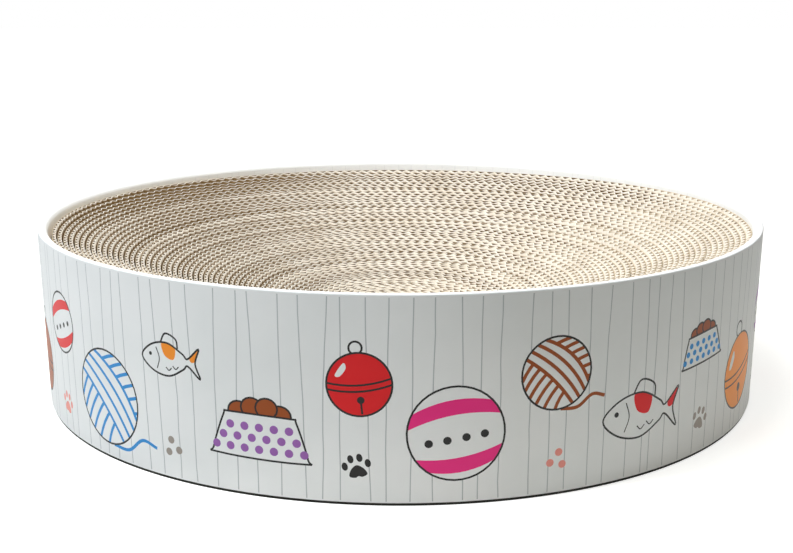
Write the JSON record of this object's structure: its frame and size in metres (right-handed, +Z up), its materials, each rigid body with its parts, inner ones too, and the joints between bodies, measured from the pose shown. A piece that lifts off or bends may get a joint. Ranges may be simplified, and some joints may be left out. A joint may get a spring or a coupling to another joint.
{
  "type": "cat scratcher bed",
  "caption": "Round cat scratcher bed: a papered board ring with a base, holding a lift-out dished pad of spirally wound corrugated cardboard.",
  "frame": {"origin": "middle of the underside, on the surface that the bed stands on", "axes": "+Z up, out of the bowl; +Y towards the seam of the printed wrap at the back; +X to the right as seen from the front"},
  "size_m": [0.42, 0.42, 0.1],
  "materials": {
    "board": "raw matt board",
    "printed_paper": "coated printed paper, low sheen",
    "white_paper": "matt white paper",
    "corrugated": "raw kraft, cut edges"
  },
  "bodies": {
    "ring": {"wall_tube": "board", "inner_lining": "white_paper", "printed_wrap": "printed_paper", "base_panel": "board"},
    "pad": {"corrugated_strip_01": "corrugated", "corrugated_strip_02": "corrugated", "corrugated_strip_03": "corrugated", "corrugated_strip_04": "corrugated", "corrugated_strip_05": "corrugated", "corrugated_strip_06": "corrugated", "corrugated_strip_07": "corrugated", "corrugated_strip_08": "corrugated", "corrugated_strip_09": "corrugated", "corrugated_strip_10": "corrugated", "corrugated_strip_11": "corrugated", "corrugated_strip_12": "corrugated"}
  },
  "joints": [
    {"name": "pad_lift", "type": "slide", "parent": "ring", "child": "pad", "axis": [0, 0, 1], "range_m": [0, 0.12]}
  ]
}
